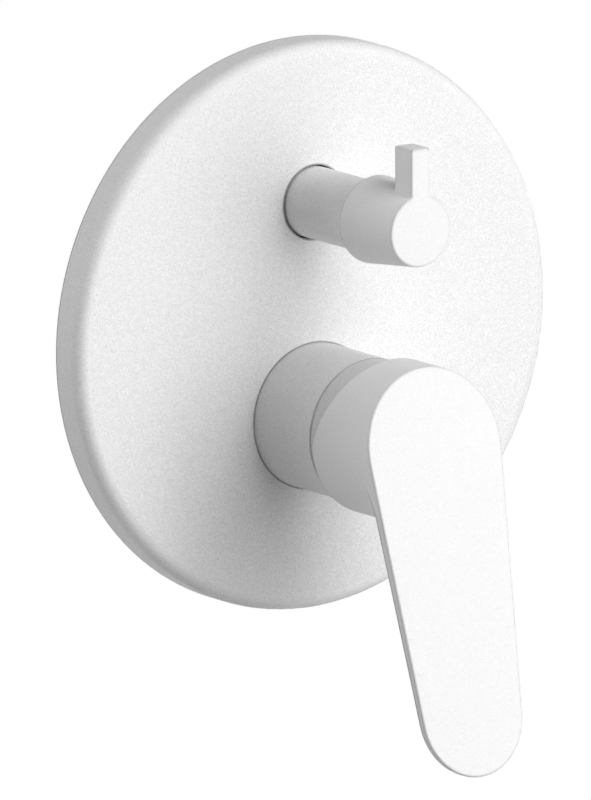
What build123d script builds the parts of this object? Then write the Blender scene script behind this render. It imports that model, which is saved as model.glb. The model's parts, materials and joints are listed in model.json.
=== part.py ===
from build123d import *
import os
from math import asin, atan, cos, degrees, radians, sin, sqrt, tan

# A wall-mounted single-lever shower mixer with a diverter above the lever, in millimetres.
# The wall is the plane y = 0, the front faces -Y and +Z is up. The origin is the middle of the wall plate.
# A depth is a distance from the wall: positive in the room, negative in the wall, so y is minus the depth.

# Wall plate and its seal
PLATE_DIAMETER = 180.0
PLATE_DEPTH = 11.8
PLATE_WALL = 2.5
PLATE_EDGE_RADIUS = 4.0
RIM_WIDTH = 3.0
SEAL_WIDTH = 5.0
SEAL_DEPTH = 3.4
COLLAR_WALL = 4.0
COLLAR_GAP = 0.3

# Axes of the two controls
MIXER_AXIS_Z = -28.2
AXIS_SPACING = 67.7

# Visible sleeves
MIXER_SLEEVE_WALL = 1.4
MIXER_SLEEVE_END = 41.5
MIXER_HOLE_CLEARANCE = 0.08
SEAM_CHAMFER = 0.25
DIVERTER_SLEEVE_RADIUS = 11.25
DIVERTER_SLEEVE_WALL = 1.2
DIVERTER_HOLE_CLEARANCE = 0.52
O_RING_SECTION = 1.9
O_RING_CLEARANCE = 0.05

# Brass block in the wall
FLANGE_WIDTH = 86.0
FLANGE_EDGE_GAP = 7.0
FLANGE_THICKNESS = 4.0
FLANGE_CORNER_RADIUS = 10.0
FIXING_EDGE = 8.0
FIXING_HOLE_RADIUS = 2.75
BLOCK_DEPTH = 30.0
BLOCK_MIXER_RADIUS = 27.0
BLOCK_DIVERTER_RADIUS = 22.0
BLOCK_EDGE_RADIUS = 3.0
NECK_WALL = 3.5
NECK_CLEARANCE = 0.5
NECK_PAST_PIVOT = 0.7
CHAMBER_FLOOR = 14.0
CHAMBER_CLEARANCE = 0.1
PORT_CIRCLE_RADIUS = 9.8
PORT_RADIUS = 3.6
PORT_SPREAD_ANGLE = 120.0
CROSS_BORE_RADIUS = 4.5
CROSS_BORE_DEPTH = -10.0

# Plug-in nipples behind the block
NIPPLE_RADIUS = 8.5
NIPPLE_LENGTH = 11.0
NIPPLE_BORE_RADIUS = 5.5
NIPPLE_SPIGOT_RADIUS = 7.0
NIPPLE_SPIGOT_LENGTH = 8.0
NIPPLE_FLANGE_LIP = 1.0
NIPPLE_FLANGE_THICKNESS = 3.0
NIPPLE_CHAMFER = 0.8
NIPPLE_SEAL_WIDTH = 2.0
NIPPLE_SEAL_THICKNESS = 1.5
INLET_OFFSET = 14.0
OUTLET_OFFSET = 12.0

# Lever cartridge
CARTRIDGE_RADIUS = 17.5
BASE_THICKNESS = 4.5
BASE_SEAL_WALL = 1.6
BASE_SEAL_THICKNESS = 1.2
DISC_CLEARANCE = 0.2
FIXED_DISC_THICKNESS = 3.5
MOVING_DISC_GAP = 1.18
MOVING_DISC_THICKNESS = 4.0
MIXING_POCKET_DEPTH = 2.0
WATER_FILM = 0.05
CARRIER_THICKNESS = 6.5
CARRIER_GAP = 0.45
RUNNING_CLEARANCE = 0.1
GUIDE_CLEARANCE = 0.2
GUIDE_FLANGE_THICKNESS = 3.0
GUIDE_LEG_WIDTH = 10.0
GUIDE_LEG_THICKNESS = 2.7
GUIDE_LEG_GAP = 1.0
GUIDE_LEG_INSET = 1.4
GUIDE_SLOT_GAP = 0.68
GUIDE_FRONT_GAP = 0.5
HOUSING_WALL = 1.8
HOUSING_SHOULDER_WIDTH = 2.7
HOUSING_SHOULDER_THICKNESS = 0.8
HOUSING_NECK_WALL = 2.3
HOUSING_FRONT = 51.8
NUT_NECK_WALL = 2.1
NUT_CLEARANCE = 0.1
NUT_LENGTH = 11.1
NUT_SLOT_WIDTH = 5.0
NUT_SLOT_DEPTH = 3.0

# Lever mechanism: at rest the stem leans down by half of its travel
LEVER_TRAVEL_ANGLE = 20.0
STEM_WIDTH = 8.0
STEM_LENGTH = 27.0
STEM_HEEL = 4.0
ARM_RADIUS = 2.2
BALL_INSET = 1.75
BALL_RADIUS = 3.0
PIN_RADIUS = 2.0
PIN_CLEARANCE = 0.04
PIN_END_GAP = 0.6

# Cap behind the handle
CAP_WALL = 1.7
CAP_FRONT_FROM_PIVOT = 14.0
CAP_OPENING_RADIUS = 9.5
CAP_FIT = 0.05
DOME_CLEARANCE = 0.5

# Lever handle
HUB_OVERHANG = 2.2
HUB_WALL = 1.3
HUB_REAR = 45.3
HUB_REAR_SLANT = 19.0
HUB_TRIM = 0.03
FACE_DEPTH = 76.05
FACE_TILT = 13.87
FACE_WALL = 4.0
LEVER_REACH = 80.4
LEVER_TAPER = 6.35
LEVER_ROOT_THICKNESS = 3.25
LEVER_TIP_THICKNESS = 2.2
LEVER_BLEND_RADIUS = 6.0
HANDLE_EDGE_RADIUS = 0.4
HANDLE_FRONT_RADIUS = 0.6
BOSS_CLEARANCE = 0.6
BOSS_WIDTH = 14.0
SOCKET_CLEARANCE = 0.05
SOCKET_END_GAP = 0.5
HANDLE_SCREW_RADIUS = 2.4
HANDLE_SCREW_LENGTH = 8.0
HANDLE_SCREW_INSET = 4.7
SCREW_CLEARANCE = 0.1
PLUG_RADIUS = 3.2
PLUG_LENGTH = 3.0
PLUG_RECESS = 0.2
SCREW_KEY_WIDTH = 2.0
SCREW_KEY_DEPTH = 2.0

# Diverter valve
DIVERTER_FLOOR = -18.0
HEADWORK_RADIUS = 10.4
HEADWORK_CLEARANCE = 0.1
HEADWORK_SKIRT_WALL = 1.8
HEADWORK_HEAD_GAP = 0.2
HEADWORK_HEX_CLEARANCE = 0.24
HEADWORK_HEX_LENGTH = 8.0
HEADWORK_NECK_STEP = 0.5
HEADWORK_END = 36.0
HEADWORK_ROOF = -6.0
WINDOW_WIDTH = 8.0
WINDOW_HEIGHT = 6.0
SEAT_SEAL_THICKNESS = 1.5
DIVERTER_DISC_THICKNESS = 3.0
DIVERTER_DISC_CLEARANCE = 0.3
DIVERTER_PORT_RADIUS = 2.6
DIVERTER_PORT_OFFSET = 4.2
SPINDLE_RADIUS = 4.0
SPINDLE_CLEARANCE = 0.05
SPINDLE_FOOT_CLEARANCE = 0.6
SPINDLE_FLAT = 3.0
SPINDLE_GROOVE_DEPTH = 1.0
SPINDLE_O_RING_DEPTH = 20.0
CLIP_THICKNESS = 1.0
CLIP_WIDTH = 2.2
CLIP_MOUTH = 4.0

# Diverter knob and its pin
KNOB_REAR = 44.2
KNOB_LENGTH = 23.95
KNOB_REAR_RADIUS = 14.0
KNOB_FRONT_RADIUS = 11.3
KNOB_EDGE_RADIUS = 0.5
KNOB_FRONT_EDGE_RADIUS = 0.7
KNOB_OVERLAP = 2.8
KNOB_RUNNING_GAP = 0.35
KNOB_SOCKET_GAP = 0.5
KNOB_FACE_WALL = 5.65
KNOB_PIN_WIDTH = 7.2
KNOB_PIN_DEPTH = 9.0
KNOB_PIN_TOP = 26.0
KNOB_PIN_CORNER_EXTRA = 0.1
KNOB_PIN_BLEND = 0.4
KNOB_SCREW_RADIUS = 1.95
KNOB_SCREW_LENGTH = 6.0
KNOB_SCREW_INSET = 6.0

# Places that follow from the sizes above
diverter_axis_z = MIXER_AXIS_Z + AXIS_SPACING
plate_radius = PLATE_DIAMETER / 2
plate_inside = PLATE_DEPTH - PLATE_WALL
ledge_radius = plate_radius - RIM_WIDTH - SEAL_WIDTH
corner_reach = ledge_radius - FLANGE_EDGE_GAP - FLANGE_CORNER_RADIUS
corner_x = FLANGE_WIDTH / 2 - FLANGE_CORNER_RADIUS
flange_height = 2 * (sqrt(corner_reach**2 - corner_x**2) + FLANGE_CORNER_RADIUS)
fixing_spacing_x = FLANGE_WIDTH - 2 * FIXING_EDGE
fixing_spacing_z = flange_height - 2 * FIXING_EDGE
collar_rear = FLANGE_THICKNESS + COLLAR_GAP
groove_half = O_RING_SECTION / 2 + 2 * O_RING_CLEARANCE
collar_groove_depth = (collar_rear + PLATE_DEPTH) / 2 - COLLAR_GAP
nipple_seal_radius = NIPPLE_SPIGOT_RADIUS + NIPPLE_SEAL_WIDTH
nipple_flange_radius = nipple_seal_radius + NIPPLE_FLANGE_LIP

chamber_radius = CARTRIDGE_RADIUS + CHAMBER_CLEARANCE
neck_radius = chamber_radius + NECK_WALL
mixer_sleeve_bore = neck_radius + NECK_CLEARANCE
mixer_sleeve_radius = mixer_sleeve_bore + MIXER_SLEEVE_WALL
hub_radius = mixer_sleeve_radius + HUB_OVERHANG
hub_bore = hub_radius - HUB_WALL
pivot_depth = HUB_REAR
stem_lean = -LEVER_TRAVEL_ANGLE / 2
lean = radians(stem_lean)
neck_end = pivot_depth + NECK_PAST_PIVOT
nut_radius = neck_radius - NUT_NECK_WALL - NUT_CLEARANCE
dome_radius = hub_bore - DOME_CLEARANCE
cap_front = pivot_depth + CAP_FRONT_FROM_PIVOT
cap_front_radius = sqrt(dome_radius**2 - CAP_FRONT_FROM_PIVOT**2)
boss_start = CAP_FRONT_FROM_PIVOT * cos(lean) - cap_front_radius * sin(lean) + BOSS_CLEARANCE
handle_screw_place = boss_start + HANDLE_SCREW_INSET
lever_tip_radius = hub_radius - LEVER_TAPER
lever_length = LEVER_REACH + lever_tip_radius
rear_tilt = FACE_TILT + degrees(atan((LEVER_ROOT_THICKNESS - LEVER_TIP_THICKNESS) / lever_length))
reach = 2 * (lever_length + hub_radius)

housing_bore = CARTRIDGE_RADIUS - HOUSING_WALL
housing_neck_radius = CARTRIDGE_RADIUS - HOUSING_SHOULDER_WIDTH
housing_neck_bore = housing_neck_radius - HOUSING_NECK_WALL
disc_radius = housing_bore - DISC_CLEARANCE
fixed_disc_start = CHAMBER_FLOOR + BASE_THICKNESS
moving_disc_start = fixed_disc_start + FIXED_DISC_THICKNESS + WATER_FILM
carrier_start = moving_disc_start + MOVING_DISC_THICKNESS
carrier_end = carrier_start + CARRIER_THICKNESS
ball_arm = pivot_depth - carrier_end + BALL_INSET
disc_offset = -ball_arm * sin(lean)
disc_rest_z = MIXER_AXIS_Z + disc_offset
moving_disc_radius = housing_bore - disc_offset - MOVING_DISC_GAP
guide_leg_outside = sqrt((housing_bore - GUIDE_LEG_INSET) ** 2 - (GUIDE_LEG_WIDTH / 2) ** 2)
carrier_half_width = guide_leg_outside - GUIDE_LEG_THICKNESS - GUIDE_CLEARANCE
guide_flange_start = carrier_end + CARRIER_GAP
guide_shoulder = guide_flange_start + GUIDE_FLANGE_THICKNESS
guide_front = HOUSING_FRONT - GUIDE_FRONT_GAP
stem_sweep = STEM_WIDTH / 2 / cos(lean) - (guide_front - pivot_depth) * tan(lean)
guide_slot_length = 2 * (stem_sweep + GUIDE_SLOT_GAP)
guide_radius = housing_neck_bore - RUNNING_CLEARANCE
pin_length = 2 * (guide_radius - PIN_END_GAP)
housing_step = guide_shoulder + RUNNING_CLEARANCE
housing_shoulder = housing_step + HOUSING_SHOULDER_THICKNESS
nut_front = housing_shoulder + NUT_LENGTH

diverter_sleeve_bore = DIVERTER_SLEEVE_RADIUS - DIVERTER_SLEEVE_WALL
diverter_sleeve_end = KNOB_REAR + KNOB_OVERLAP
knob_front = KNOB_REAR + KNOB_LENGTH
knob_socket_end = knob_front - KNOB_FACE_WALL
spindle_end = knob_socket_end - KNOB_SOCKET_GAP
headwork_bore = HEADWORK_RADIUS - HEADWORK_SKIRT_WALL
headwork_chamber = HEADWORK_RADIUS + HEADWORK_CLEARANCE
headwork_head = FLANGE_THICKNESS - HEADWORK_HEAD_GAP
hex_start = FLANGE_THICKNESS + HEADWORK_HEAD_GAP
hex_corner_radius = diverter_sleeve_bore - HEADWORK_HEX_CLEARANCE
headwork_neck_radius = hex_corner_radius * cos(radians(30)) - HEADWORK_NECK_STEP
diverter_disc_radius = headwork_bore - DIVERTER_DISC_CLEARANCE
diverter_disc_start = DIVERTER_FLOOR + SEAT_SEAL_THICKNESS
diverter_moving_start = diverter_disc_start + DIVERTER_DISC_THICKNESS + WATER_FILM
spindle_foot_start = diverter_moving_start + DIVERTER_DISC_THICKNESS
clip_start = HEADWORK_END + RUNNING_CLEARANCE
outlet_sides = {"left_outlet": -OUTLET_OFFSET, "right_outlet": OUTLET_OFFSET}
inlet_sides = {"hot": -INLET_OFFSET, "cold": INLET_OFFSET}


def facing(depth, tilt=0.0, axis_z=0.0):
    """A plane that faces the room at a depth, with its normal tilted up by an angle in degrees."""
    normal = (0, -cos(radians(tilt)), sin(radians(tilt)))
    return Plane((0, -depth, axis_z), x_dir=(1, 0, 0), z_dir=normal)


def prism(sketch, depth_from, depth_to):
    """A sketch drawn in X and Z, carried from one depth to another."""
    return extrude(facing(depth_from) * sketch, depth_to - depth_from)


def rod(x, z, radius, depth_from, depth_to):
    """A round bar along the depth."""
    return prism(Pos(x, z) * Circle(radius), depth_from, depth_to)


def turned(axis_z, outline):
    """A turned body about a control's axis, from the (radius, depth) corners of its section."""
    corners = [(radius, -depth, axis_z) for radius, depth in outline]
    return revolve(make_face(Polyline(*corners, close=True)), Axis((0, 0, axis_z), (0, 1, 0)))


def tube(axis_z, outer, inner, depth_from, depth_to):
    """A plain ring or tube about a control's axis."""
    outline = [(inner, depth_from), (outer, depth_from), (outer, depth_to), (inner, depth_to)]
    return turned(axis_z, outline)


def o_ring(axis_z, inner, section, depth):
    """A round-section ring about a control's axis."""
    centre = inner + section / 2
    circle = Plane((centre, -depth, axis_z)) * Circle(section / 2)
    return revolve(circle, Axis((0, 0, axis_z), (0, 1, 0)))


def tapered_outline(upper_z, upper_radius, lower_z, lower_radius):
    """Two circles, one above the other, joined by their common tangents."""
    taper = asin((upper_radius - lower_radius) / (upper_z - lower_z))
    side = Vector(cos(taper), -sin(taper))
    upper = Vector(0, upper_z)
    lower = Vector(0, lower_z)
    mirror_side = Vector(-side.X, side.Y)
    over = ThreePointArc(
        upper + mirror_side * upper_radius, upper + Vector(0, upper_radius), upper + side * upper_radius
    )
    under = ThreePointArc(
        lower + side * lower_radius, lower - Vector(0, lower_radius), lower + mirror_side * lower_radius
    )
    right = Line(over @ 1, under @ 0)
    left = Line(under @ 1, over @ 0)
    return make_face([over, right, under, left])


def port_places():
    """The x and z of the three ports in the cartridge's floor, mixed water at the top."""
    side = PORT_CIRCLE_RADIUS * sin(radians(PORT_SPREAD_ANGLE))
    low_z = MIXER_AXIS_Z + PORT_CIRCLE_RADIUS * cos(radians(PORT_SPREAD_ANGLE))
    return {"mixed": (0, MIXER_AXIS_Z + PORT_CIRCLE_RADIUS), "hot": (-side, low_z), "cold": (side, low_z)}


def escutcheon():
    """The wall plate: a shallow dish with a rounded front edge and a collar behind each hole."""
    dish = turned(
        0,
        [
            (0, PLATE_DEPTH),
            (plate_radius, PLATE_DEPTH),
            (plate_radius, 0),
            (plate_radius - RIM_WIDTH, 0),
            (plate_radius - RIM_WIDTH, SEAL_DEPTH),
            (ledge_radius, SEAL_DEPTH),
            (ledge_radius, plate_inside),
            (0, plate_inside),
        ],
    )
    front_edge = dish.edges().filter_by(GeomType.CIRCLE).sort_by(Axis.Y)[0]
    dish = fillet(front_edge, PLATE_EDGE_RADIUS)
    for axis_z, radius, clearance in [
        (MIXER_AXIS_Z, mixer_sleeve_radius, MIXER_HOLE_CLEARANCE),
        (diverter_axis_z, DIVERTER_SLEEVE_RADIUS, DIVERTER_HOLE_CLEARANCE),
    ]:
        hole = radius + clearance
        groove = radius + O_RING_SECTION + 2 * O_RING_CLEARANCE
        dish += rod(0, axis_z, hole + COLLAR_WALL, collar_rear, plate_inside + PLATE_WALL / 2)
        dish -= rod(0, axis_z, hole, 0, PLATE_DEPTH)
        dish -= rod(0, axis_z, groove, collar_groove_depth - groove_half, collar_groove_depth + groove_half)
    return dish


def rim_seal():
    """A soft ring that fills the step behind the plate's rim."""
    outer = plate_radius - RIM_WIDTH - DISC_CLEARANCE
    return tube(0, outer, outer - SEAL_WIDTH + 2 * DISC_CLEARANCE, 0, SEAL_DEPTH)


def sleeve_o_ring(axis_z, radius):
    """A ring in the plate's collar, round a sleeve."""
    return o_ring(axis_z, radius + O_RING_CLEARANCE, O_RING_SECTION, collar_groove_depth)


def mixer_sleeve():
    """The thick sleeve, from the block's flange to the seam behind the cap."""
    return turned(
        MIXER_AXIS_Z,
        [
            (mixer_sleeve_bore, FLANGE_THICKNESS),
            (mixer_sleeve_radius, FLANGE_THICKNESS),
            (mixer_sleeve_radius, MIXER_SLEEVE_END - SEAM_CHAMFER),
            (mixer_sleeve_radius - SEAM_CHAMFER, MIXER_SLEEVE_END),
            (mixer_sleeve_bore, MIXER_SLEEVE_END),
        ],
    )


def diverter_sleeve():
    """The thin sleeve, from the block's flange into the back of the knob."""
    return tube(
        diverter_axis_z, DIVERTER_SLEEVE_RADIUS, diverter_sleeve_bore, FLANGE_THICKNESS, diverter_sleeve_end
    )


def function_block():
    """The brass block: a screw flange, a tapered body in the wall, a neck and drilled waterways."""
    body = prism(
        tapered_outline(diverter_axis_z, BLOCK_DIVERTER_RADIUS, MIXER_AXIS_Z, BLOCK_MIXER_RADIUS),
        -BLOCK_DEPTH,
        FLANGE_THICKNESS / 2,
    )
    body = fillet(body.faces().sort_by(Axis.Y)[-1].edges(), BLOCK_EDGE_RADIUS)
    flange = prism(
        RectangleRounded(FLANGE_WIDTH, flange_height, FLANGE_CORNER_RADIUS)
        - GridLocations(fixing_spacing_x, fixing_spacing_z, 2, 2) * Circle(FIXING_HOLE_RADIUS),
        0,
        FLANGE_THICKNESS,
    )
    block = body + flange + rod(0, MIXER_AXIS_Z, neck_radius, FLANGE_THICKNESS / 2, neck_end)
    block -= rod(0, MIXER_AXIS_Z, chamber_radius, CHAMBER_FLOOR, neck_end)
    block -= rod(0, MIXER_AXIS_Z, nut_radius + NUT_CLEARANCE, housing_shoulder, neck_end)
    block -= rod(0, diverter_axis_z, headwork_chamber, DIVERTER_FLOOR, FLANGE_THICKNESS)
    # Each nipple has a seat, a bore and a drilled way on to its port
    seat_depth = -BLOCK_DEPTH + NIPPLE_SEAL_THICKNESS
    spigot_depth = -BLOCK_DEPTH + NIPPLE_SPIGOT_LENGTH
    for x, z in nipple_places().values():
        block -= rod(x, z, nipple_seal_radius + SCREW_CLEARANCE, -BLOCK_DEPTH, seat_depth)
        block -= rod(x, z, NIPPLE_SPIGOT_RADIUS + SCREW_CLEARANCE, -BLOCK_DEPTH, spigot_depth)
    for name in inlet_sides:
        inlet_end = CROSS_BORE_DEPTH + PORT_RADIUS
        block -= rod(*nipple_places()[name], NIPPLE_BORE_RADIUS, spigot_depth, inlet_end)
        block -= rod(*port_places()[name], PORT_RADIUS, CROSS_BORE_DEPTH - PORT_RADIUS, CHAMBER_FLOOR)
    for x in outlet_sides.values():
        side = DIVERTER_PORT_OFFSET if x > 0 else -DIVERTER_PORT_OFFSET
        block -= rod(side, diverter_axis_z, DIVERTER_PORT_RADIUS, spigot_depth, DIVERTER_FLOOR)
        block -= rod(x, diverter_axis_z, NIPPLE_BORE_RADIUS, spigot_depth, DIVERTER_FLOOR - PORT_RADIUS / 2)
    # Mixed water climbs from the cartridge to the side of the diverter's chamber
    mixed_x, mixed_z = port_places()["mixed"]
    block -= rod(mixed_x, mixed_z, PORT_RADIUS, CROSS_BORE_DEPTH, CHAMBER_FLOOR)
    climb = Plane((mixed_x, -CROSS_BORE_DEPTH, mixed_z - CROSS_BORE_RADIUS))
    block -= extrude(climb * Circle(CROSS_BORE_RADIUS), diverter_axis_z - mixed_z)
    return block


def nipple_places():
    """The x and z of the four nipples behind the block, the inlets level with their ports."""
    places = {}
    for name, x in inlet_sides.items():
        places[name] = (x, port_places()[name][1])
    for name, x in outlet_sides.items():
        places[name] = (x, diverter_axis_z)
    return places


def nipple(x, z):
    """A turned plug-in nipple: a spigot in the block, a flange and a free end with a chamfered mouth."""
    rear = -BLOCK_DEPTH
    flange_rear = rear - NIPPLE_FLANGE_THICKNESS
    end = flange_rear - NIPPLE_LENGTH
    body = turned(
        0,
        [
            (NIPPLE_BORE_RADIUS, rear + NIPPLE_SPIGOT_LENGTH),
            (NIPPLE_SPIGOT_RADIUS, rear + NIPPLE_SPIGOT_LENGTH),
            (NIPPLE_SPIGOT_RADIUS, rear),
            (nipple_flange_radius, rear),
            (nipple_flange_radius, flange_rear),
            (NIPPLE_RADIUS, flange_rear),
            (NIPPLE_RADIUS, end + NIPPLE_CHAMFER),
            (NIPPLE_RADIUS - NIPPLE_CHAMFER, end),
            (NIPPLE_BORE_RADIUS, end),
        ],
    )
    return Pos(x, 0, z) * body


def nipple_seals():
    """A flat ring under the flange of each nipple."""
    rear = -BLOCK_DEPTH
    ring = tube(
        0, nipple_seal_radius, NIPPLE_SPIGOT_RADIUS + O_RING_CLEARANCE, rear, rear + NIPPLE_SEAL_THICKNESS
    )
    return Compound([Pos(x, 0, z) * ring for x, z in nipple_places().values()])


def cartridge_base():
    """The cartridge's foot, with a ported disc and a seat behind each port."""
    base = rod(0, MIXER_AXIS_Z, CARTRIDGE_RADIUS, CHAMBER_FLOOR, fixed_disc_start)
    seat_radius = PORT_RADIUS + BASE_SEAL_WALL + O_RING_CLEARANCE
    for x, z in port_places().values():
        base -= rod(x, z, PORT_RADIUS, CHAMBER_FLOOR, fixed_disc_start)
        base -= rod(x, z, seat_radius, CHAMBER_FLOOR, CHAMBER_FLOOR + BASE_SEAL_THICKNESS)
    return base


def base_seals():
    """One rubber ring for each port, against the chamber's floor."""
    seal_end = CHAMBER_FLOOR + BASE_SEAL_THICKNESS
    ring = tube(0, PORT_RADIUS + BASE_SEAL_WALL, PORT_RADIUS, CHAMBER_FLOOR, seal_end)
    return Compound([Pos(x, 0, z) * ring for x, z in port_places().values()])


def fixed_disc():
    """The ported ceramic disc on the cartridge's base."""
    fixed_disc_end = fixed_disc_start + FIXED_DISC_THICKNESS
    disc = rod(0, MIXER_AXIS_Z, disc_radius, fixed_disc_start, fixed_disc_end)
    for x, z in port_places().values():
        disc -= rod(x, z, PORT_RADIUS, fixed_disc_start, fixed_disc_end)
    return disc


def cartridge_housing():
    """The cartridge's shell: a wide part round the discs and a neck round the turning guide."""
    return turned(
        MIXER_AXIS_Z,
        [
            (housing_bore, fixed_disc_start),
            (CARTRIDGE_RADIUS, fixed_disc_start),
            (CARTRIDGE_RADIUS, housing_shoulder),
            (housing_neck_radius, housing_shoulder),
            (housing_neck_radius, HOUSING_FRONT),
            (housing_neck_bore, HOUSING_FRONT),
            (housing_neck_bore, housing_step),
            (housing_bore, housing_step),
        ],
    )


def cartridge_nut():
    """The ring nut that holds the cartridge in the neck, with slots for its key."""
    inner = housing_neck_radius + DISC_CLEARANCE
    nut = tube(MIXER_AXIS_Z, nut_radius, inner, housing_shoulder, nut_front)
    slot = Rectangle(2 * nut_radius + NUT_SLOT_WIDTH, NUT_SLOT_WIDTH)
    for turn in (0, 90):
        nut -= prism(Pos(0, MIXER_AXIS_Z) * Rot(0, 0, turn) * slot, nut_front - NUT_SLOT_DEPTH, nut_front)
    return nut


def dome_cap():
    """The cap that closes the sleeve: a short skirt, then a dome about the lever's pivot."""
    cap = turned(
        MIXER_AXIS_Z,
        [
            (0, MIXER_SLEEVE_END),
            (mixer_sleeve_radius - SEAM_CHAMFER, MIXER_SLEEVE_END),
            (mixer_sleeve_radius, MIXER_SLEEVE_END + SEAM_CHAMFER),
            (mixer_sleeve_radius, cap_front),
            (0, cap_front),
        ],
    )
    cap -= outside_dome(dome_radius)
    hollow = rod(0, MIXER_AXIS_Z, neck_radius + CAP_FIT, MIXER_SLEEVE_END, cap_front - CAP_WALL)
    cap -= hollow - outside_dome(dome_radius - CAP_WALL)
    return cap - rod(0, MIXER_AXIS_Z, CAP_OPENING_RADIUS, MIXER_SLEEVE_END, cap_front)


def outside_dome(radius):
    """What lies in front of the lever's pivot and outside a dome about it."""
    front = rod(0, MIXER_AXIS_Z, 2 * hub_radius, pivot_depth, cap_front + CAP_WALL)
    return front - Pos(0, -pivot_depth, MIXER_AXIS_Z) * Sphere(radius)


def moving_disc():
    """The sliding ceramic disc, with the pocket that joins the ports."""
    disc = rod(0, disc_rest_z, moving_disc_radius, moving_disc_start, carrier_start)
    pocket = Pos(0, disc_rest_z) * RectangleRounded(
        PORT_CIRCLE_RADIUS + PORT_RADIUS, 2 * PORT_RADIUS + PORT_CIRCLE_RADIUS / 2, PORT_RADIUS
    )
    return disc - prism(pocket, moving_disc_start, moving_disc_start + MIXING_POCKET_DEPTH)


def disc_carrier():
    """The carrier on the sliding disc, with flats for the guide and a slot for the lever's ball."""
    carrier = rod(0, disc_rest_z, moving_disc_radius, carrier_start, carrier_end)
    flats = Pos(0, disc_rest_z) * Rectangle(2 * carrier_half_width, 3 * moving_disc_radius)
    carrier = carrier & prism(flats, carrier_start, carrier_end)
    slot_floor = pivot_depth - ball_arm - BALL_RADIUS - GUIDE_CLEARANCE
    slot_width = 2 * (BALL_RADIUS + RUNNING_CLEARANCE)
    slot = Pos(0, disc_rest_z) * Rectangle(slot_width + 2 * GUIDE_CLEARANCE, slot_width)
    return carrier - prism(slot, slot_floor, carrier_end)


def lever_guide():
    """The turning guide: a flange under the housing's step, a slotted neck and two legs on the carrier."""
    guide = rod(0, MIXER_AXIS_Z, housing_bore - GUIDE_CLEARANCE, guide_flange_start, guide_shoulder)
    guide += rod(0, MIXER_AXIS_Z, guide_radius, guide_shoulder, guide_front)
    leg_x = guide_leg_outside - GUIDE_LEG_THICKNESS / 2
    leg = Rectangle(GUIDE_LEG_THICKNESS, GUIDE_LEG_WIDTH)
    for x in (-leg_x, leg_x):
        guide += prism(Pos(x, MIXER_AXIS_Z) * leg, carrier_start + GUIDE_LEG_GAP, guide_shoulder)
    slot = Pos(0, MIXER_AXIS_Z) * Rectangle(STEM_WIDTH + 2 * GUIDE_CLEARANCE, guide_slot_length)
    guide -= prism(slot, guide_flange_start, guide_front)
    return guide - cross_rod(PIN_RADIUS + PIN_CLEARANCE / 2, 2 * guide_radius)


def cross_rod(radius, length):
    """A round bar along X through the lever's pivot."""
    side = Plane((-length / 2, -pivot_depth, MIXER_AXIS_Z), x_dir=(0, 1, 0), z_dir=(1, 0, 0))
    return extrude(side * Circle(radius), length)


def along_stem(sketch, start, end):
    """A sketch carried along the stem, between two distances from the pivot."""
    plane = facing(pivot_depth, stem_lean, MIXER_AXIS_Z).offset(start)
    return extrude(plane * sketch, end - start)


def lever_stem():
    """The lever's square stem, with an arm and a ball that push the disc's carrier."""
    stem = along_stem(Rectangle(STEM_WIDTH, STEM_WIDTH), -STEM_HEEL, STEM_LENGTH)
    stem += along_stem(Circle(ARM_RADIUS), -ball_arm, -STEM_HEEL)
    ball_plane = facing(pivot_depth, stem_lean, MIXER_AXIS_Z).offset(-ball_arm)
    stem += Pos(*ball_plane.origin) * Sphere(BALL_RADIUS)
    return stem - cross_rod(PIN_RADIUS + PIN_CLEARANCE, 2 * STEM_WIDTH)


def handle_blank():
    """The handle's outside: a hub run into a sloping lever by a rolled fillet, cut to its outline."""
    hub = rod(0, MIXER_AXIS_Z, hub_radius + HUB_TRIM, HUB_REAR, FACE_DEPTH + reach / 4)
    rear_depth = FACE_DEPTH - LEVER_ROOT_THICKNESS / cos(radians(FACE_TILT))
    rear_plane = facing(rear_depth, rear_tilt, MIXER_AXIS_Z)
    blank = hub + extrude(rear_plane * Rectangle(reach, reach), reach)
    joint_edge = blank.edges().filter_by(GeomType.ELLIPSE)
    blank = fillet(joint_edge, LEVER_BLEND_RADIUS)
    outline = tapered_outline(MIXER_AXIS_Z, hub_radius, MIXER_AXIS_Z - LEVER_REACH, lever_tip_radius)
    blank = blank & prism(outline, HUB_REAR - HUB_WALL, FACE_DEPTH + reach / 4)
    face = facing(FACE_DEPTH, FACE_TILT, MIXER_AXIS_Z)
    blank -= extrude(face * Rectangle(reach, reach), reach)
    # The upper half of the hub's back slopes forward, so that the lever can tilt
    top = MIXER_AXIS_Z + 2 * hub_radius
    slope_depth = HUB_REAR + 2 * hub_radius * tan(radians(HUB_REAR_SLANT))
    side = Plane((-reach / 2, 0, 0), x_dir=(0, -1, 0), z_dir=(1, 0, 0))
    corners = [
        (HUB_REAR, -MIXER_AXIS_Z),
        (slope_depth, -top),
        (HUB_REAR - HUB_WALL, -top),
        (HUB_REAR - HUB_WALL, -MIXER_AXIS_Z),
    ]
    blank -= extrude(side * make_face(Polyline(*corners, close=True)), reach)
    slope_edge = blank.edges().filter_by(GeomType.ELLIPSE).sort_by(Axis.Y)[-1]
    rear_edge = blank.edges().filter_by(GeomType.CIRCLE).sort_by(Axis.Z)[0]
    blank = fillet([slope_edge, rear_edge], HANDLE_EDGE_RADIUS)
    front_face = blank.faces().sort_by_distance(face.origin)[0]
    return fillet(front_face.outer_wire().edges(), HANDLE_FRONT_RADIUS)


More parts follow.
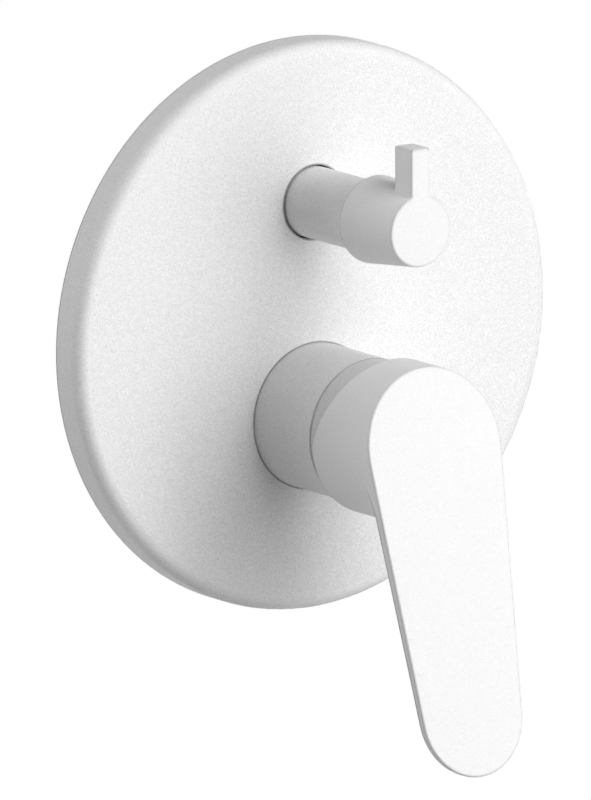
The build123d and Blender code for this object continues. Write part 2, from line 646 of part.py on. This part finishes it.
def handle():
    """The handle: its outside, hollowed round the cap, with a socket for the stem and a screw below it."""
    face = facing(FACE_DEPTH, FACE_TILT, MIXER_AXIS_Z)
    hollow = rod(0, MIXER_AXIS_Z, hub_bore, HUB_REAR, FACE_DEPTH)
    hollow -= extrude(face.offset(-FACE_WALL) * Rectangle(reach, reach), reach)
    boss = Pos(0, -(reach - BOSS_WIDTH) / 2) * Rectangle(BOSS_WIDTH, reach)
    hollow -= along_stem(boss, boss_start, reach)
    socket_width = STEM_WIDTH + 2 * SOCKET_CLEARANCE
    socket = along_stem(Rectangle(socket_width, socket_width), boss_start, STEM_LENGTH + SOCKET_END_GAP)
    body = handle_blank() - hollow - socket
    body -= below_stem(HANDLE_SCREW_RADIUS + SCREW_CLEARANCE, 0, hub_edge_below() + HUB_WALL)
    plug_start = hub_edge_below() - PLUG_LENGTH
    return body - below_stem(PLUG_RADIUS + SCREW_CLEARANCE, plug_start, hub_edge_below() + HUB_WALL)


def hub_edge_below():
    """How far the hub's underside lies from the stem's axis, measured along the screw."""
    return (hub_radius + handle_screw_place * sin(lean)) / cos(lean)


def below_stem(radius, start, end):
    """A round bar square to the stem, running down from it between two distances."""
    frame = facing(pivot_depth, stem_lean, MIXER_AXIS_Z)
    down = -frame.y_dir
    origin = frame.origin + frame.z_dir * handle_screw_place + down * start
    return extrude(Plane(origin, x_dir=(1, 0, 0), z_dir=down) * Circle(radius), end - start)


def handle_screw():
    """The grub screw that clamps the handle on the stem, with a hexagon socket in its end."""
    start = STEM_WIDTH / 2 + SOCKET_CLEARANCE
    end = start + HANDLE_SCREW_LENGTH
    frame = facing(pivot_depth, stem_lean, MIXER_AXIS_Z)
    down = -frame.y_dir
    key_origin = frame.origin + frame.z_dir * handle_screw_place + down * (end - SCREW_KEY_DEPTH)
    key = Plane(key_origin, x_dir=(1, 0, 0), z_dir=down) * RegularPolygon(SCREW_KEY_WIDTH / 2, 6)
    return below_stem(HANDLE_SCREW_RADIUS, start, end) - extrude(key, SCREW_KEY_DEPTH)


def screw_plug():
    """The plug that hides the grub screw in the hub's underside."""
    end = hub_edge_below() - PLUG_RECESS
    return below_stem(PLUG_RADIUS, hub_edge_below() - PLUG_LENGTH, end)


def diverter_housing():
    """The turned headwork: a windowed skirt round the discs, a hexagon and a bearing for the spindle."""
    body = turned(
        diverter_axis_z,
        [
            (headwork_bore, DIVERTER_FLOOR),
            (HEADWORK_RADIUS, DIVERTER_FLOOR),
            (HEADWORK_RADIUS, headwork_head),
            (headwork_neck_radius, headwork_head),
            (headwork_neck_radius, HEADWORK_END),
            (SPINDLE_RADIUS + SPINDLE_CLEARANCE, HEADWORK_END),
            (SPINDLE_RADIUS + SPINDLE_CLEARANCE, HEADWORK_ROOF),
            (headwork_bore, HEADWORK_ROOF),
        ],
    )
    hexagon = Pos(0, diverter_axis_z) * RegularPolygon(hex_corner_radius, 6)
    nut = prism(hexagon, hex_start, hex_start + HEADWORK_HEX_LENGTH)
    nut_bore = headwork_neck_radius - SPINDLE_CLEARANCE
    body += nut - rod(0, diverter_axis_z, nut_bore, hex_start, HEADWORK_END)
    # Water enters the skirt through four windows
    window = Rectangle(WINDOW_WIDTH, 3 * HEADWORK_RADIUS)
    window_start = CROSS_BORE_DEPTH - WINDOW_HEIGHT / 2
    inside = rod(0, diverter_axis_z, headwork_bore, DIVERTER_FLOOR, HEADWORK_ROOF)
    for turn in (0, 90):
        opening = prism(
            Pos(0, diverter_axis_z) * Rot(0, 0, turn) * window, window_start, window_start + WINDOW_HEIGHT
        )
        body -= opening - inside
    return body


def diverter_seat_seal():
    """The rubber seat under the fixed disc, with a hole for each outlet."""
    seal = rod(0, diverter_axis_z, diverter_disc_radius, DIVERTER_FLOOR, diverter_disc_start)
    return seal - outlet_holes(DIVERTER_FLOOR, diverter_disc_start)


def outlet_holes(depth_from, depth_to):
    """The two outlet ports under the diverter's discs."""
    left = rod(-DIVERTER_PORT_OFFSET, diverter_axis_z, DIVERTER_PORT_RADIUS, depth_from, depth_to)
    return left + rod(DIVERTER_PORT_OFFSET, diverter_axis_z, DIVERTER_PORT_RADIUS, depth_from, depth_to)


def diverter_fixed_disc():
    """The ported ceramic disc of the diverter."""
    end = diverter_disc_start + DIVERTER_DISC_THICKNESS
    disc = rod(0, diverter_axis_z, diverter_disc_radius, diverter_disc_start, end)
    return disc - outlet_holes(diverter_disc_start, end)


def diverter_moving_disc():
    """The turning ceramic disc: cut away on one side, it uncovers one outlet or the other."""
    disc = rod(0, diverter_axis_z, diverter_disc_radius, diverter_moving_start, spindle_foot_start)
    cut_z = diverter_axis_z + DIVERTER_PORT_OFFSET + diverter_disc_radius / 2
    return disc - prism(
        Pos(0, cut_z) * Rectangle(2 * DIVERTER_PORT_RADIUS, diverter_disc_radius),
        diverter_moving_start,
        spindle_foot_start,
    )


def diverter_spindle():
    """The spindle: a foot on the turning disc, grooves for its ring and clip, and a flat for the knob."""
    foot_radius = diverter_disc_radius - DIVERTER_DISC_CLEARANCE
    foot_end = HEADWORK_ROOF - SPINDLE_FOOT_CLEARANCE
    groove = SPINDLE_RADIUS - SPINDLE_GROOVE_DEPTH
    ring_half = SPINDLE_GROOVE_DEPTH / 2 + O_RING_CLEARANCE
    spindle = turned(
        diverter_axis_z,
        [
            (0, spindle_foot_start),
            (foot_radius, spindle_foot_start),
            (foot_radius, foot_end),
            (SPINDLE_RADIUS, foot_end),
            (SPINDLE_RADIUS, SPINDLE_O_RING_DEPTH - ring_half),
            (groove, SPINDLE_O_RING_DEPTH - ring_half),
            (groove, SPINDLE_O_RING_DEPTH + ring_half),
            (SPINDLE_RADIUS, SPINDLE_O_RING_DEPTH + ring_half),
            (SPINDLE_RADIUS, clip_start - O_RING_CLEARANCE),
            (groove, clip_start - O_RING_CLEARANCE),
            (groove, clip_start + CLIP_THICKNESS + O_RING_CLEARANCE),
            (SPINDLE_RADIUS, clip_start + CLIP_THICKNESS + O_RING_CLEARANCE),
            (SPINDLE_RADIUS, spindle_end),
            (0, spindle_end),
        ],
    )
    flat = Pos(0, diverter_axis_z - SPINDLE_FLAT - SPINDLE_RADIUS) * Rectangle(
        3 * SPINDLE_RADIUS, 2 * SPINDLE_RADIUS
    )
    return spindle - prism(flat, diverter_sleeve_end, spindle_end)


def spindle_o_ring():
    """The ring in the spindle's groove."""
    inner = SPINDLE_RADIUS - SPINDLE_GROOVE_DEPTH + O_RING_CLEARANCE / 2
    return o_ring(diverter_axis_z, inner, SPINDLE_GROOVE_DEPTH - O_RING_CLEARANCE, SPINDLE_O_RING_DEPTH)


def spindle_clip():
    """The spring clip that keeps the spindle in its bearing, open on one side."""
    inner = SPINDLE_RADIUS - SPINDLE_GROOVE_DEPTH + O_RING_CLEARANCE
    clip_end = clip_start + CLIP_THICKNESS
    clip = tube(diverter_axis_z, inner + CLIP_WIDTH, inner, clip_start, clip_end)
    mouth = Pos(0, diverter_axis_z - SPINDLE_RADIUS) * Rectangle(CLIP_MOUTH, 2 * SPINDLE_RADIUS)
    return clip - prism(mouth, clip_start, clip_end)


def knob_pin():
    """The knob's upright pin, rounded at its top and behind."""
    outline = Pos(0, diverter_axis_z + KNOB_PIN_TOP / 2) * Rectangle(KNOB_PIN_WIDTH, KNOB_PIN_TOP)
    outline = fillet(outline.vertices().sort_by(Axis.Y)[-2:], KNOB_FRONT_EDGE_RADIUS + KNOB_PIN_CORNER_EXTRA)
    pin = prism(outline, knob_front - KNOB_PIN_DEPTH, knob_front)
    return fillet(pin.faces().sort_by(Axis.Y)[-1].edges(), KNOB_EDGE_RADIUS)


def diverter_knob():
    """The conical knob with its upright pin, hollow behind for the sleeve and the spindle."""
    recess = DIVERTER_SLEEVE_RADIUS + KNOB_RUNNING_GAP
    recess_end = diverter_sleeve_end + KNOB_RUNNING_GAP
    knob = turned(
        diverter_axis_z,
        [
            (0, KNOB_REAR),
            (KNOB_REAR_RADIUS, KNOB_REAR),
            (KNOB_FRONT_RADIUS, knob_front),
            (0, knob_front),
        ],
    )
    knob += knob_pin()
    knob = fillet(knob.edges().filter_by(GeomType.HYPERBOLA), KNOB_PIN_BLEND)
    front_edges = knob.faces().sort_by(Axis.Y)[0].outer_wire().edges()
    knob = fillet(front_edges, KNOB_FRONT_EDGE_RADIUS)
    rear_edges = knob.faces().sort_by(Axis.Y)[-1].outer_wire().edges()
    knob = fillet(rear_edges, KNOB_EDGE_RADIUS)
    knob -= rod(0, diverter_axis_z, recess, KNOB_REAR, recess_end)
    socket_radius = SPINDLE_RADIUS + SOCKET_CLEARANCE
    socket = rod(0, diverter_axis_z, socket_radius, recess_end, knob_socket_end)
    flat_z = diverter_axis_z - SPINDLE_FLAT - SOCKET_CLEARANCE - SPINDLE_RADIUS
    flat = Pos(0, flat_z) * Rectangle(3 * SPINDLE_RADIUS, 2 * SPINDLE_RADIUS)
    knob -= socket - prism(flat, recess_end, knob_socket_end)
    return knob - knob_screw_bar(KNOB_SCREW_RADIUS + SCREW_CLEARANCE, KNOB_REAR_RADIUS)


def knob_screw_bar(radius, length):
    """A round bar down from the spindle's flat."""
    top = diverter_axis_z - SPINDLE_FLAT - SOCKET_CLEARANCE
    plane = Plane((0, KNOB_SCREW_INSET - spindle_end, top), x_dir=(1, 0, 0), z_dir=(0, 0, -1))
    return extrude(plane * Circle(radius), length)


def build_pieces():
    """Every piece of the mixer by name."""
    pieces = {
        "escutcheon": escutcheon(),
        "rim_seal": rim_seal(),
        "function_block": function_block(),
        "nipple_seals": nipple_seals(),
        "mixer_sleeve": mixer_sleeve(),
        "mixer_sleeve_o_ring": sleeve_o_ring(MIXER_AXIS_Z, mixer_sleeve_radius),
        "diverter_sleeve": diverter_sleeve(),
        "diverter_sleeve_o_ring": sleeve_o_ring(diverter_axis_z, DIVERTER_SLEEVE_RADIUS),
        "cartridge_base": cartridge_base(),
        "base_seals": base_seals(),
        "fixed_disc": fixed_disc(),
        "cartridge_housing": cartridge_housing(),
        "cartridge_nut": cartridge_nut(),
        "dome_cap": dome_cap(),
        "moving_disc": moving_disc(),
        "disc_carrier": disc_carrier(),
        "lever_guide": lever_guide(),
        "lever_pin": cross_rod(PIN_RADIUS, pin_length),
        "lever_stem": lever_stem(),
        "handle": handle(),
        "handle_screw": handle_screw(),
        "screw_plug": screw_plug(),
        "diverter_housing": diverter_housing(),
        "diverter_seat_seal": diverter_seat_seal(),
        "diverter_fixed_disc": diverter_fixed_disc(),
        "diverter_moving_disc": diverter_moving_disc(),
        "diverter_spindle": diverter_spindle(),
        "spindle_o_ring": spindle_o_ring(),
        "spindle_clip": spindle_clip(),
        "diverter_knob": diverter_knob(),
        "knob_screw": knob_screw_bar(KNOB_SCREW_RADIUS, KNOB_SCREW_LENGTH),
    }
    for name, (x, z) in nipple_places().items():
        pieces[f"{name}_nipple"] = nipple(x, z)
    return pieces


os.makedirs("parts", exist_ok=True)
for name, piece in build_pieces().items():
    export_step(piece, f"parts/{name}.step")
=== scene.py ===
import bpy
import json
from math import cos, radians, sin
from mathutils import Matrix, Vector

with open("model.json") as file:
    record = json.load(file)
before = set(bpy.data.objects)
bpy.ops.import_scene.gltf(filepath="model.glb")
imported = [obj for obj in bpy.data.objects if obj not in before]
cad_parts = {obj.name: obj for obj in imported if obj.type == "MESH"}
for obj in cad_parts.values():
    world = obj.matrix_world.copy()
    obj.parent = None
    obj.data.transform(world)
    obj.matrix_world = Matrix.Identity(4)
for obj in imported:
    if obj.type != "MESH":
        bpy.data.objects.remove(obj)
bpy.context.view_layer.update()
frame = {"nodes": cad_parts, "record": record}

# Sizes of the scene in metres, angles in degrees, lens and sensor in millimetres
MM = 0.001

# The powder coat: its grain, its orange peel, and painted shade that darkens its sharp edges
GRAIN_SIZE = 0.22 * MM
GRAIN_DEPTH = 0.02 * MM
PEEL_SIZE = 2.2 * MM
PEEL_DEPTH = 0.004 * MM
EDGE_SHADE_WIDTH = 0.7 * MM
EDGE_SHADE_GREY = 0.4
EDGE_SHADE_SAMPLES = 24

# The camera: the picture's height at the object, and its middle as seen from the origin
VIEW_AZIMUTH = -35.636
VIEW_ELEVATION = 11.876
FRAME_HEIGHT = 0.2491
FRAME_RIGHT = 0.00096
FRAME_UP = -0.02484
LENS = 1150.0
SENSOR = 36.0
VIEW_NEAR = 0.1
VIEW_FAR = 40.0

# The floor and the light, where a strength of 1 is white to the camera
FLOOR_Z = -1.2
FLOOR_HALF = 8.0
FLOOR_GREY = 0.8
FLOOR_GLOW = 0.97
BACKDROP = 1.0
AMBIENT = 0.03
LAMP_DISTANCE = 1.2
LAMP_AIM = (0, -0.03, -0.02)

# Sockets of the Mix node, whose data types share their socket names
MIX_VALUE_A, MIX_VALUE_B, MIX_VALUE_RESULT = 2, 3, 0
MIX_COLOUR_A, MIX_COLOUR_B, MIX_COLOUR_RESULT = 6, 7, 2


# Materials

def start_material(name):
    """A new node material with a Principled shader and an Object coordinate."""
    material = bpy.data.materials.new(name)
    material.use_nodes = True
    nodes = material.node_tree.nodes
    nodes.clear()
    output = nodes.new("ShaderNodeOutputMaterial")
    shader = nodes.new("ShaderNodeBsdfPrincipled")
    place = nodes.new("ShaderNodeTexCoord")
    material.node_tree.links.new(shader.outputs["BSDF"], output.inputs["Surface"])
    return material, shader, place.outputs["Object"]


def add(material, kind, values=None, **inputs):
    """A node with attributes and inputs: an input is a value or another node's output."""
    node = material.node_tree.nodes.new(kind)
    for key, value in (values or {}).items():
        setattr(node, key, value)
    for key, value in inputs.items():
        socket = node.inputs[key.replace("_", " ")]
        if isinstance(value, bpy.types.NodeSocket):
            material.node_tree.links.new(value, socket)
        else:
            socket.default_value = value
    return node


def noise(material, place, size, detail=2.0, rough=0.5):
    """Noise with features of about a size in metres."""
    node = add(material, "ShaderNodeTexNoise", Vector=place, Scale=1 / size, Detail=detail, Roughness=rough)
    return node.outputs["Fac"]


def stretched(material, place, scale):
    """Coordinates stretched by a scale on each axis."""
    return add(material, "ShaderNodeMapping", Vector=place, Scale=scale).outputs["Vector"]


def spread(material, value, low, high, from_low=0.3, from_high=0.7):
    """A noise value spread between two numbers."""
    node = add(material, "ShaderNodeMapRange", Value=value)
    node.inputs["From Min"].default_value = from_low
    node.inputs["From Max"].default_value = from_high
    node.inputs["To Min"].default_value = low
    node.inputs["To Max"].default_value = high
    return node.outputs["Result"]


def blend_colours(material, value, first, second):
    """A colour between two, by a value from 0 to 1."""
    node = add(material, "ShaderNodeMix", {"data_type": "RGBA"})
    material.node_tree.links.new(value, node.inputs["Factor"])
    node.inputs[MIX_COLOUR_A].default_value = (*first, 1)
    node.inputs[MIX_COLOUR_B].default_value = (*second, 1)
    return node.outputs[MIX_COLOUR_RESULT]


def blend_values(material, value, first, second):
    """A value between two others, by a value from 0 to 1."""
    node = add(material, "ShaderNodeMix", {"data_type": "FLOAT"})
    material.node_tree.links.new(value, node.inputs["Factor"])
    material.node_tree.links.new(first, node.inputs[MIX_VALUE_A])
    material.node_tree.links.new(second, node.inputs[MIX_VALUE_B])
    return node.outputs[MIX_VALUE_RESULT]


def bump(material, height, depth, under=None):
    """A bump whose full height is a depth in metres, over another bump if there is one."""
    node = add(material, "ShaderNodeBump", Strength=1.0, Distance=depth, Height=height)
    if under is not None:
        material.node_tree.links.new(under, node.inputs["Normal"])
    return node.outputs["Normal"]


def link(material, output, shader, socket):
    """Join a node's output to a named input of the shader."""
    material.node_tree.links.new(output, shader.inputs[socket])


def paint(material, shader, value, first, second):
    """Give the shader a base colour between two, by a value from 0 to 1."""
    link(material, blend_colours(material, value, first, second), shader, "Base Color")


def white_coat(name, low, high):
    """Matt white powder coat between two greys: fine grain, faint orange peel, and painted shade that
    darkens sharp edges.
    """
    material, shader, place = start_material(name)
    grain = noise(material, place, GRAIN_SIZE, detail=0.0)
    peel = noise(material, place, PEEL_SIZE, detail=2.0)
    pits = spread(material, grain, 0.0, 1.0, 0.38, 0.62)
    coat = blend_colours(material, pits, (low, low, low), (high, high, high))
    # Painted shade: an inward ambient-occlusion probe greys the coat colour near sharp convex edges,
    # drawing dark outlines there
    look_inside = {"inside": True, "samples": EDGE_SHADE_SAMPLES}
    depth = add(material, "ShaderNodeAmbientOcclusion", look_inside, Distance=EDGE_SHADE_WIDTH)
    edge_shade = spread(material, depth.outputs["AO"], EDGE_SHADE_GREY, 1.0, 0.72, 0.98)
    edge_shaded_coat = add(material, "ShaderNodeVectorMath", {"operation": "SCALE"})
    material.node_tree.links.new(coat, edge_shaded_coat.inputs[0])
    material.node_tree.links.new(edge_shade, edge_shaded_coat.inputs["Scale"])
    link(material, edge_shaded_coat.outputs["Vector"], shader, "Base Color")
    link(material, spread(material, grain, 0.58, 0.46), shader, "Roughness")
    shader.inputs["Specular IOR Level"].default_value = 0.35
    peel_bump = bump(material, peel, PEEL_DEPTH)
    link(material, bump(material, grain, GRAIN_DEPTH, peel_bump), shader, "Normal")
    return material


def white_plastic():
    """Moulded white plastic with a fine spark-eroded texture."""
    material, shader, place = start_material("white_moulded_plastic")
    grain = noise(material, place, 0.25 * MM, detail=2.0)
    tone = spread(material, grain, 0.0, 1.0)
    paint(material, shader, tone, (0.79, 0.79, 0.78), (0.87, 0.87, 0.86))
    link(material, spread(material, grain, 0.42, 0.55), shader, "Roughness")
    link(material, bump(material, grain, 0.01 * MM), shader, "Normal")
    return material


def turned_brass():
    """Turned brass: fine tool rings along the axis of the part, with a little tarnish."""
    material, shader, place = start_material("turned_brass")
    rings = noise(material, stretched(material, place, (20, 5000, 20)), 1.0, detail=3.0)
    tarnish = noise(material, place, 9 * MM, detail=4.0, rough=0.6)
    tone = spread(material, tarnish, 0.0, 1.0)
    paint(material, shader, tone, (0.60, 0.43, 0.19), (0.76, 0.58, 0.29))
    shader.inputs["Metallic"].default_value = 1.0
    link(material, spread(material, rings, 0.24, 0.38), shader, "Roughness")
    link(material, bump(material, rings, 0.012 * MM), shader, "Normal")
    return material


def cast_brass():
    """Cast brass: a sandy skin on the sides, and faced flats square to the wall."""
    material, shader, place = start_material("cast_brass")
    sand = noise(material, place, 0.7 * MM, detail=4.0, rough=0.65)
    tarnish = noise(material, place, 14 * MM, detail=4.0, rough=0.6)
    faced = noise(material, stretched(material, place, (900, 900, 25)), 1.0, detail=2.0)
    normal = add(material, "ShaderNodeNewGeometry").outputs["Normal"]
    parts = add(material, "ShaderNodeSeparateXYZ", Vector=normal)
    facing = add(material, "ShaderNodeMath", {"operation": "ABSOLUTE"})
    material.node_tree.links.new(parts.outputs["Y"], facing.inputs[0])
    flat = spread(material, facing.outputs["Value"], 0.0, 1.0, 0.985, 0.999)
    height = blend_values(material, flat, sand, spread(material, faced, 0.44, 0.56))
    tone = spread(material, tarnish, 0.0, 1.0)
    paint(material, shader, tone, (0.55, 0.39, 0.18), (0.72, 0.54, 0.27))
    shader.inputs["Metallic"].default_value = 1.0
    link(material, spread(material, flat, 0.5, 0.32, 0.0, 1.0), shader, "Roughness")
    link(material, bump(material, height, 0.11 * MM), shader, "Normal")
    return material


def rubber():
    """Black moulded rubber with a dull bloom."""
    material, shader, place = start_material("black_rubber")
    bloom = noise(material, place, 5 * MM, detail=3.0)
    grain = noise(material, place, 0.3 * MM, detail=2.0)
    tone = spread(material, bloom, 0.0, 1.0)
    paint(material, shader, tone, (0.022, 0.022, 0.023), (0.05, 0.05, 0.05))
    link(material, spread(material, grain, 0.55, 0.75), shader, "Roughness")
    link(material, bump(material, grain, 0.015 * MM), shader, "Normal")
    return material


def foam():
    """Dark closed-cell foam: small cells with paler walls."""
    material, shader, place = start_material("foam_seal")
    cells = add(material, "ShaderNodeTexVoronoi", Vector=place, Scale=1 / (0.9 * MM), Randomness=1.0)
    wall = spread(material, cells.outputs["Distance"], 0.0, 1.0, 0.1, 0.7)
    paint(material, shader, wall, (0.07, 0.07, 0.075), (0.15, 0.15, 0.155))
    shader.inputs["Roughness"].default_value = 0.9
    shader.inputs["Specular IOR Level"].default_value = 0.2
    link(material, bump(material, wall, 0.12 * MM), shader, "Normal")
    return material


def cartridge_plastic():
    """Grey glass-filled plastic with faint flow marks."""
    material, shader, place = start_material("cartridge_plastic")
    flow = noise(material, stretched(material, place, (60, 400, 60)), 1.0, detail=3.0)
    grain = noise(material, place, 0.3 * MM, detail=2.0)
    tone = spread(material, flow, 0.0, 1.0)
    paint(material, shader, tone, (0.26, 0.28, 0.30), (0.34, 0.36, 0.38))
    link(material, spread(material, grain, 0.38, 0.52), shader, "Roughness")
    link(material, bump(material, grain, 0.01 * MM), shader, "Normal")
    return material


def ceramic():
    """Lapped alumina: off-white, near polished, with faint specks."""
    material, shader, place = start_material("lapped_ceramic")
    speck = noise(material, place, 0.5 * MM, detail=4.0, rough=0.7)
    tone = spread(material, speck, 0.0, 1.0, 0.62, 0.7)
    paint(material, shader, tone, (0.86, 0.85, 0.81), (0.70, 0.68, 0.63))
    link(material, spread(material, speck, 0.12, 0.2), shader, "Roughness")
    return material


def steel():
    """Stainless steel with fine drawing lines."""
    material, shader, place = start_material("drawn_steel")
    lines = noise(material, stretched(material, place, (2500, 60, 2500)), 1.0, detail=3.0)
    tone = spread(material, lines, 0.0, 1.0)
    paint(material, shader, tone, (0.50, 0.50, 0.51), (0.64, 0.64, 0.65))
    shader.inputs["Metallic"].default_value = 1.0
    link(material, spread(material, lines, 0.26, 0.4), shader, "Roughness")
    link(material, bump(material, lines, 0.008 * MM), shader, "Normal")
    return material


FINISHES = {
    "white_coat": white_coat("white_powder_coat", 0.73, 0.93),
    "white_plastic": white_plastic(),
    "brass": turned_brass(),
    "rubber": rubber(),
    "foam_seal": foam(),
    "cartridge_plastic": cartridge_plastic(),
    "ceramic": ceramic(),
    "steel": steel(),
}
smooth_coat = white_coat("smooth_powder_coat", 0.80, 0.90)
NODE_FINISHES = {
    "handle": smooth_coat,
    "diverter_knob": smooth_coat,
    # Painted shade: the cap ring's coat is greyer than the rest, standing for the shade it lies in between
    # the sleeve and the hub
    "dome_cap": white_coat("shaded_cap_powder_coat", 0.62, 0.78),
    "function_block": cast_brass(),
}

for part in frame["record"]["subparts"]:
    node = frame["nodes"][part["node"]]
    finish = NODE_FINISHES.get(part["node"], FINISHES[part["material_slot"]])
    for slot in node.material_slots:
        slot.material = finish


# Floor, backdrop and light

def seen_directly(material_tree):
    """One where a ray comes from the camera, or from a gloss or glass that shows the backdrop."""
    nodes, links = material_tree.nodes, material_tree.links
    path = nodes.new("ShaderNodeLightPath")
    seen = path.outputs["Is Camera Ray"]
    for name in ("Is Glossy Ray", "Is Transmission Ray"):
        either = nodes.new("ShaderNodeMath")
        either.operation = "MAXIMUM"
        links.new(seen, either.inputs[0])
        links.new(path.outputs[name], either.inputs[1])
        seen = either.outputs["Value"]
    return seen


def make_world():
    """A white backdrop that lights the object only as a dark grey one would."""
    world = bpy.data.worlds.new("studio")
    bpy.context.scene.world = world
    world.use_nodes = True
    nodes, links = world.node_tree.nodes, world.node_tree.links
    nodes.clear()
    lit = nodes.new("ShaderNodeBackground")
    lit.inputs["Color"].default_value = (1, 1, 1, 1)
    lit.inputs["Strength"].default_value = AMBIENT
    seen = nodes.new("ShaderNodeBackground")
    seen.inputs["Color"].default_value = (1, 1, 1, 1)
    seen.inputs["Strength"].default_value = BACKDROP
    mix = nodes.new("ShaderNodeMixShader")
    links.new(seen_directly(world.node_tree), mix.inputs["Fac"])
    links.new(lit.outputs["Background"], mix.inputs[1])
    links.new(seen.outputs["Background"], mix.inputs[2])
    output = nodes.new("ShaderNodeOutputWorld")
    links.new(mix.outputs["Shader"], output.inputs["Surface"])


def make_floor():
    """A pale floor that keeps the object's shadow and reads as white to the camera."""
    mesh = bpy.data.meshes.new("floor")
    corners = [(x * FLOOR_HALF, y * FLOOR_HALF, FLOOR_Z) for x, y in ((-1, -1), (1, -1), (1, 1), (-1, 1))]
    mesh.from_pydata(corners, [], [(0, 1, 2, 3)])
    floor = bpy.data.objects.new("floor", mesh)
    bpy.context.collection.objects.link(floor)
    material = bpy.data.materials.new("pale_floor")
    material.use_nodes = True
    nodes, links = material.node_tree.nodes, material.node_tree.links
    nodes.clear()
    matt = nodes.new("ShaderNodeBsdfDiffuse")
    matt.inputs["Color"].default_value = (FLOOR_GREY, FLOOR_GREY, FLOOR_GREY, 1)
    light = nodes.new("ShaderNodeEmission")
    light.inputs["Strength"].default_value = FLOOR_GLOW
    both = nodes.new("ShaderNodeAddShader")
    links.new(matt.outputs["BSDF"], both.inputs[0])
    links.new(light.outputs["Emission"], both.inputs[1])
    mix = nodes.new("ShaderNodeMixShader")
    links.new(seen_directly(material.node_tree), mix.inputs["Fac"])
    links.new(matt.outputs["BSDF"], mix.inputs[1])
    links.new(both.outputs["Shader"], mix.inputs[2])
    # From below the floor is clear, so that the underside of the object can be seen
    clear = nodes.new("ShaderNodeBsdfTransparent")
    side = nodes.new("ShaderNodeNewGeometry")
    one_sided = nodes.new("ShaderNodeMixShader")
    links.new(side.outputs["Backfacing"], one_sided.inputs["Fac"])
    links.new(mix.outputs["Shader"], one_sided.inputs[1])
    links.new(clear.outputs["BSDF"], one_sided.inputs[2])
    output = nodes.new("ShaderNodeOutputMaterial")
    links.new(one_sided.outputs["Shader"], output.inputs["Surface"])
    mesh.materials.append(material)


def direction(azimuth, elevation):
    """A unit vector from the object: azimuth 0 is the front, and a positive one is to the right."""
    turn, rise = radians(azimuth), radians(elevation)
    return Vector((sin(turn) * cos(rise), -cos(turn) * cos(rise), sin(rise)))


def soft_box(name, azimuth, elevation, width, height, watts):
    """A large area light aimed at the object."""
    data = bpy.data.lights.new(name, "AREA")
    data.shape = "RECTANGLE"
    data.size = width
    data.size_y = height
    data.energy = watts
    lamp = bpy.data.objects.new(name, data)
    away = direction(azimuth, elevation)
    lamp.location = Vector(LAMP_AIM) + away * LAMP_DISTANCE
    lamp.rotation_mode = "QUATERNION"
    lamp.rotation_quaternion = (-away).to_track_quat("-Z", "Y")
    bpy.context.collection.objects.link(lamp)


make_world()
make_floor()
soft_box("strip_right", 30, 14, 0.6, 2.0, 8.5)
soft_box("strip_front", 2, 16, 0.6, 2.0, 2.7)
soft_box("front_top", 8, 50, 0.9, 0.8, 4.1)
soft_box("front_high", 0, 25, 0.7, 0.7, 2.0)
soft_box("front_low", 12, -25, 0.7, 0.7, 1.7)
soft_box("side_right", 35, 12, 0.7, 0.7, 1.9)
soft_box("rim_left", -120, 10, 0.7, 0.7, 3.8)
soft_box("rim_side", -110, 5, 1.2, 1.2, 2.8)
soft_box("rim_back", -150, 40, 0.7, 0.7, 1.0)


# Camera at the photograph's angle

def make_camera():
    """A far camera with a long lens, turned and placed so that the object lies as in the photograph."""
    back = direction(VIEW_AZIMUTH, VIEW_ELEVATION)
    turn = (-back).to_track_quat("-Z", "Y")
    data = bpy.data.cameras.new("camera")
    data.sensor_width = SENSOR
    data.lens = LENS
    distance = FRAME_HEIGHT * LENS / SENSOR
    data.clip_start = VIEW_NEAR
    data.clip_end = VIEW_FAR
    camera = bpy.data.objects.new("camera", data)
    target = turn @ Vector((FRAME_RIGHT, FRAME_UP, 0))
    camera.location = target + back * distance
    camera.rotation_mode = "QUATERNION"
    camera.rotation_quaternion = turn
    bpy.context.collection.objects.link(camera)
    bpy.context.scene.camera = camera


make_camera()
bpy.context.scene.view_settings.view_transform = "Standard"
